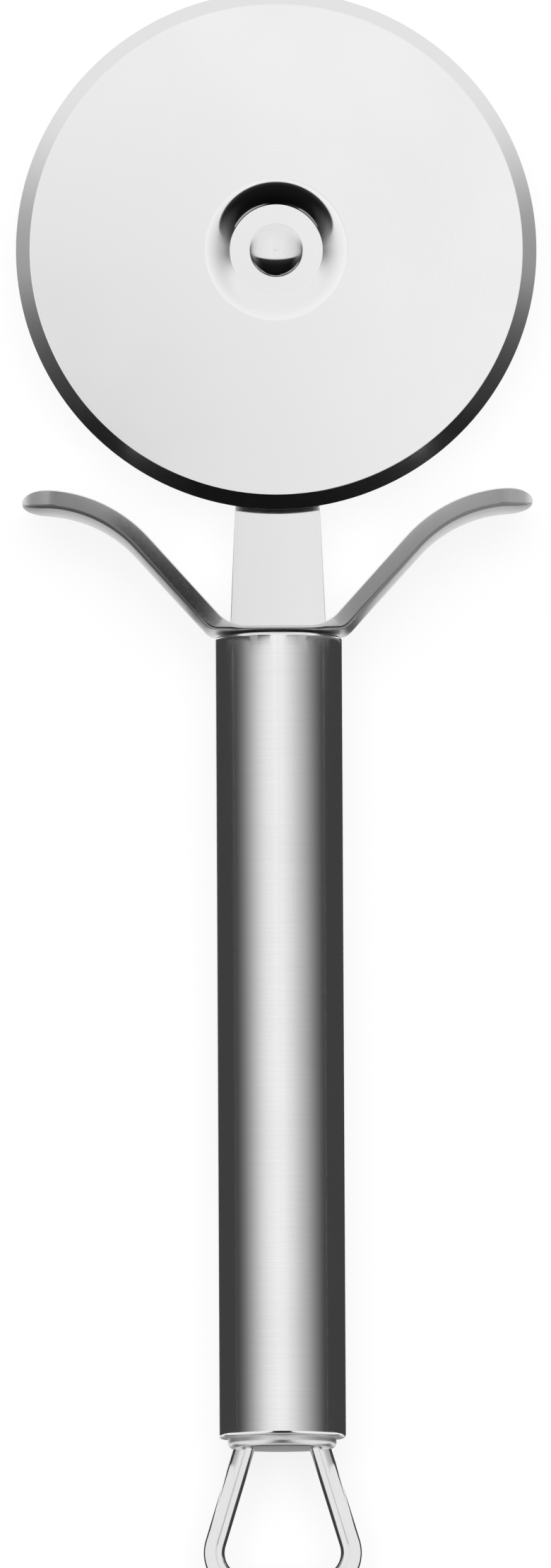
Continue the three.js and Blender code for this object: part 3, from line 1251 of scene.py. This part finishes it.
@dataclass
class Studio:
    """White floor, a soft sky with dark and light cards that paint reflections into the steel, a lamp and
    the camera.

    Attributes:
        tilt: How far the camera leans from straight above towards the handle's end, in degrees.
        roll: Turn of the camera about its own axis, in degrees.
        lens: Focal length, in millimetres.
        sensor: Width of the camera's sensor, in millimetres.
        scale: Pixels of the picture for each metre of the tool.
        picture: Width and height of the picture in pixels.
        mouth_row: Picture row of the tube's mouth at the height of its axis.
        axis_column: Picture column of the tool's axis at the picture's middle.
        floor_size: Side of the floor.
        floor_share: Share of the floor's white that the lights give; the rest glows.
        side_glow: Sky levels from the left horizon over the top to the right one, as (place, level).
        box_edge: Share of that level overhead, from the handle's end to the wheel, as (place, share).
        soft_edge: The same share out to the sides, where the sky fades more slowly.
        side_fade: Sideways parts of the direction between which the one edge turns into the other.
        far_glow: Level of the sky beyond the wheel.
        far_fade: Forward parts of the direction between which it sets in.
        end_glow: Level of a low light beyond the handle's end, seen in the wheel from behind.
        end_fade: Forward parts of the direction between which it ends.
        low_fade: Upward parts of the direction between which it ends.
        dim_spot: Direction of a faint dim patch in the soft light over the wheel.
        dim_reach: Distances from that direction at which the patch begins and stops fading.
        dimming: Share of the light that the patch takes away.
        sides: Levels of the painted-reflection cards on the left and on the right.
        dark: Level of the dark cards on the floor, which paint shade into the steel's reflections, such as
            the handle's dark sides.
        cap_grey: Level of the card under the cap, which paints the reflection of the shadowed floor into
            the cap's end face.
        end_light: Level of the card beyond the handle's end, which paints a light reflection into the steel
            that faces it.
        loop_light: Level of the cards beside the loop, which paint a bright reflection into the wire.
        reach: How far the dark cards go out.
        slant: Rise of their upper edge to the side.
        card_lift: Height of the cards on the floor.
        flag_height: Height of the flags over the wings.
        flag_foot: Lower edge of these flags above the tube's mouth.
        flag_top: Height of their upper edge above the mouth, at the tool's axis.
        flag_slope: Rise of that edge to the side.
        lamp_size: Side of the soft lamp.
        lamp_power: Its power.
        lamp_place: Where it hangs.
    """

    tilt: float = 5.1
    roll: float = 0.29
    lens: float = 590.0
    sensor: float = 36.0
    scale: float = 9830.0
    picture: tuple[int, int] = (780, 2218)
    mouth_row: float = 901.8
    axis_column: float = 394.8
    floor_size: float = 30.0
    floor_share: float = 0.2
    side_glow: tuple[Point, ...] = (
        (-1.0, 0.05), (-0.96, 0.13), (-0.866, 0.29), (-0.733, 0.49), (-0.572, 0.69), (-0.39, 0.83),
        (-0.1, 0.93), (0.1, 0.9),
        (0.39, 0.72), (0.572, 0.56), (0.733, 0.42), (0.866, 0.26), (0.96, 0.13), (1.0, 0.05),
    )
    box_edge: tuple[Point, ...] = ((-1.0, 0.0), (-0.2, 0.01), (-0.07, 0.03), (-0.045, 1.0), (1.0, 1.0))
    soft_edge: tuple[Point, ...] = (
        (-1.0, 0.0), (-0.45, 0.015), (-0.3, 0.1), (-0.2, 0.2), (-0.1, 0.42), (0.04, 1.0), (1.0, 1.0),
    )
    side_fade: Point = (0.3, 0.8)
    far_glow: float = 0.86
    far_fade: Point = (0.15, 0.6)
    end_glow: float = 0.6
    end_fade: Point = (-0.6, -0.35)
    low_fade: Point = (0.3, 0.42)
    dim_spot: Place = (-0.012, 0.098, 0.995)
    dim_reach: Point = (0.006, 0.02)
    dimming: float = 0.3
    # Painted reflections: the left side's flags and card are darker than the right's, which paints the left
    # wing's face darker.
    sides: tuple[SideTones, ...] = (
        SideTones("left", -1, near=14 * MM, root=0.03, tip=0.33, under=0.06),
        SideTones("right", 1, near=11 * MM, root=0.38, tip=0.45, under=0.2),
    )
    dark: float = 0.05
    cap_grey: float = 0.36
    end_light: float = 0.65
    loop_light: float = 0.9
    reach: float = 6.0
    slant: float = 0.12
    card_lift: float = 0.3 * MM
    flag_height: float = 45 * MM
    flag_foot: float = 2 * MM
    flag_top: float = 4.74 * MM
    flag_slope: float = 0.72
    lamp_size: float = 1.5
    lamp_power: float = 20.0
    lamp_place: Place = (0.0, 0.15, 1.5)

    def camera(self, handle: Handle) -> None:
        """Place the camera above the tool at the picture's angle and scale.

        Args:
            handle: The handle that the picture is lined up with.
        """
        lean = math.radians(self.tilt)
        across = (self.picture[0] / 2 - self.axis_column) / self.scale
        down = (self.picture[1] / 2 - self.mouth_row) / self.scale / math.cos(lean)
        aim = Vector((across, handle.mouth - down, handle.axis.z))
        distance = self.lens * self.picture[1] / self.scale / self.sensor
        back = Vector((0.0, -math.sin(lean), math.cos(lean)))
        turn = math.radians(self.roll)
        up = Vector((math.sin(turn), math.cos(turn), 0.0))
        side = up.cross(back).normalized()
        up = back.cross(side)
        lens = bpy.data.cameras.new("picture_camera")
        lens.lens = self.lens
        lens.sensor_width = self.sensor
        lens.clip_end = distance * 4
        seen = stand("picture_camera", lens)
        turned = Matrix((side, up, back)).transposed().to_4x4()
        seen.matrix_world = Matrix.Translation(aim + back * distance) @ turned
        bpy.context.scene.camera = seen

    @staticmethod
    def _ramp(sketch: NodeSketch, way: Socket, stops: Sequence[Point]) -> Socket:
        """Levels along one direction of the sky.

        Args:
            sketch: The sky's graph.
            way: That part of the direction, from -1 to 1.
            stops: The levels as (place, level).

        Returns:
            The level.
        """
        node = sketch.add("ShaderNodeValToRGB", {0: sketch.spread(way, (-1.0, 1.0), (0.0, 1.0))})
        ramp = node.color_ramp
        while len(ramp.elements) < len(stops):
            ramp.elements.new(0.5)
        for element, (place, level) in zip(ramp.elements, stops):
            element.position = (place + 1) / 2
            element.color = (level, level, level, 1.0)
        return node.outputs[0]

    def world(self) -> None:
        """Light the tool from a wide soft sky that darkens to the sides and behind the handle's end."""
        sky = bpy.data.worlds.new("studio_sky")
        sky.use_nodes = True
        bpy.context.scene.world = sky
        sketch = NodeSketch(sky.node_tree)
        coords = sketch.add("ShaderNodeTexCoord").outputs["Generated"]
        way = sketch.add("ShaderNodeSeparateXYZ", {0: coords}).outputs
        sides = self._ramp(sketch, way[0], self.side_glow)
        box = self._ramp(sketch, way[1], self.box_edge)
        soft = self._ramp(sketch, way[1], self.soft_edge)
        aside = sketch.spread(sketch.maths("ABSOLUTE", way[0]), self.side_fade, (0.0, 1.0), smooth=True)
        near = sketch.maths("MULTIPLY", sides, sketch.blend(aside, box, soft))
        ahead = sketch.spread(way[1], self.far_fade, (0.0, 1.0), smooth=True)
        whole = sketch.blend(ahead, near, (self.far_glow, self.far_glow, self.far_glow, 1.0))
        off = sketch.add("ShaderNodeVectorMath", {0: coords, 1: self.dim_spot}, operation="DISTANCE")
        dim = sketch.spread(off.outputs["Value"], self.dim_reach, (1 - self.dimming, 1.0), smooth=True)
        overhead = sketch.maths("MULTIPLY", whole, dim)
        low = sketch.spread(way[2], self.low_fade, (self.end_glow, 0.0), smooth=True)
        behind = sketch.spread(way[1], self.end_fade, (1.0, 0.0), smooth=True)
        level = sketch.maths("MAXIMUM", overhead, sketch.maths("MULTIPLY", low, behind))
        seen = sketch.add("ShaderNodeLightPath").outputs["Is Camera Ray"]
        shown = sketch.maths("MAXIMUM", level, seen)
        light = sketch.add("ShaderNodeBackground", {"Color": (1.0, 1.0, 1.0, 1.0), "Strength": shown})
        sketch.add("ShaderNodeOutputWorld", {"Surface": light.outputs[0]})

    def floor(self) -> None:
        """Lay a white floor that keeps a faint shadow of the tool."""
        pale, sketch = blank_material("studio_white")
        path = sketch.add("ShaderNodeLightPath").outputs
        looked = sketch.maths("MAXIMUM", path["Is Camera Ray"], path["Is Glossy Ray"])
        looked = sketch.maths("MAXIMUM", looked, path["Is Transmission Ray"])
        share = self.floor_share
        matt = sketch.add("ShaderNodeBsdfDiffuse", {"Color": (share, share, share, 1.0)})
        glow = sketch.maths("MULTIPLY", looked, 1 - share)
        lit = sketch.add("ShaderNodeEmission", {"Strength": glow})
        both = sketch.add("ShaderNodeAddShader", {0: matt.outputs[0], 1: lit.outputs[0]})
        sketch.add("ShaderNodeOutputMaterial", {"Surface": both.outputs[0]})
        half = self.floor_size / 2
        stage_sheet("studio_floor", lying(-half, half, -half, half, 0.0), pale)

    def _flag(self, handle: Handle, hand: int, near: float, far: float) -> list[Place]:
        """Find the corners of a flag above one wing, a card that paints the reflected tone of the wing's
        face.

        Args:
            handle: The handle that the wing stands on.
            hand: -1 on the left, 1 on the right.
            near: Where the flag begins, from the tool's axis.
            far: Where it ends.

        Returns:
            The corners.
        """
        foot = handle.mouth + self.flag_foot
        inner, outer = (handle.mouth + self.flag_top + self.flag_slope * x for x in (near, far))
        spots = [(near, foot), (far, foot), (far, outer), (near, inner)]
        return [(hand * x, y, self.flag_height) for x, y in spots]

    def _side_cards(self, handle: Handle, side: SideTones) -> list[PaintedReflectionCard]:
        """Choose the cards on one side of the tool, which paint reflections into the steel.

        Args:
            handle: The handle that they stand beside.
            side: The side and its levels.

        Returns:
            A dark card on the floor that paints shade into the handle's side, flags round the wing that
            paint its face's tone, a grey card that paints the wing's floor shadow into its underside and a
            light one by the loop that paints the wire bright.
        """
        hand, name, mouth, end = side.hand, side.name, handle.mouth, handle.end
        edge, lift = hand * self.reach, self.card_lift
        floor = [
            (hand * side.near, end - 2 * MM, lift),
            (edge, end - 2 * MM, lift),
            (edge, mouth + self.slant * self.reach, lift),
            (hand * side.near, mouth + 2 * MM, lift),
        ]
        root = self._flag(handle, hand, 8 * MM, 24 * MM)
        tip = self._flag(handle, hand, 24 * MM, 42 * MM)
        nose = lying(hand * 42 * MM, hand * 54 * MM, mouth + 17 * MM, mouth + 36 * MM, self.flag_height)
        beside = hand * 60 * MM
        wall = upright((beside, mouth + 5 * MM), (beside, mouth + 40 * MM), 0.0, 28 * MM)
        under = upright((hand * 14 * MM, mouth), (hand * 42 * MM, mouth + 17 * MM), 0.0, 26 * MM)
        leg = hand * 15 * MM
        loop = upright((leg, end - 30 * MM), (leg, end - 1 * MM), 7.5 * MM, 60 * MM)
        return [
            PaintedReflectionCard(f"dark_{name}", floor, self.dark),
            PaintedReflectionCard(f"root_flag_{name}", root, side.root),
            PaintedReflectionCard(f"tip_flag_{name}", tip, side.tip),
            PaintedReflectionCard(f"nose_flag_{name}", nose, side.tip),
            PaintedReflectionCard(f"side_flag_{name}", wall, side.tip),
            PaintedReflectionCard(f"wing_shadow_reflection_{name}", under, side.under),
            PaintedReflectionCard(f"loop_light_{name}", loop, self.loop_light),
        ]

    def cards(self, handle: Handle) -> None:
        """Stand the cards that paint reflections: dark ones beside the handle, flags round the guard, light
        ones at its end, and a grey one under the cap that paints the shadowed floor into the cap's end
        face.

        Args:
            handle: The handle that they stand round.
        """
        wide, end, lift = self.reach, handle.end, self.card_lift
        foot = end - 6 * MM
        far = end - 60 * MM
        cards = [
            PaintedReflectionCard("dark_below", lying(-wide, wide, -wide, foot, lift), self.dark),
            PaintedReflectionCard("shadow_reflection_under_cap", lying(-10 * MM, 10 * MM, foot, end, lift), self.cap_grey),
            PaintedReflectionCard("light_end", upright((-0.4, far), (0.4, far), 0.0, 40 * MM), self.end_light),
        ]
        for side in self.sides:
            cards += self._side_cards(handle, side)
        for card in cards:
            card.build()

    def lamp(self) -> None:
        """Hang a large soft lamp over the tool for the floor's light and shadow."""
        light = bpy.data.lights.new("studio_softbox", "AREA")
        light.shape = "SQUARE"
        light.size = self.lamp_size
        light.energy = self.lamp_power
        hung = stand("studio_softbox", light)
        hung.location = self.lamp_place
        hung.visible_glossy = False

    def build(self, handle: Handle) -> None:
        """Set up the stage, the light and the camera.

        Args:
            handle: The handle that they are lined up with.
        """
        bpy.context.scene.view_settings.view_transform = "Standard"
        self.camera(handle)
        self.world()
        self.floor()
        self.cards(handle)
        self.lamp()
        LOG.info("studio: floor, cards, lamp and camera set")


def main() -> None:
    """Build the tool's sub-assemblies in order, then the studio."""
    logging.basicConfig(level=logging.INFO, format="%(message)s")
    lathe = Lathe()
    bender = WireBender()
    handle = Handle()
    axle = Axle()
    head = Head()
    handle.build(lathe, bender)
    axle.build(lathe)
    head.build(handle, axle)
    Studio().build(handle)


if __name__ == "__main__":
    main()
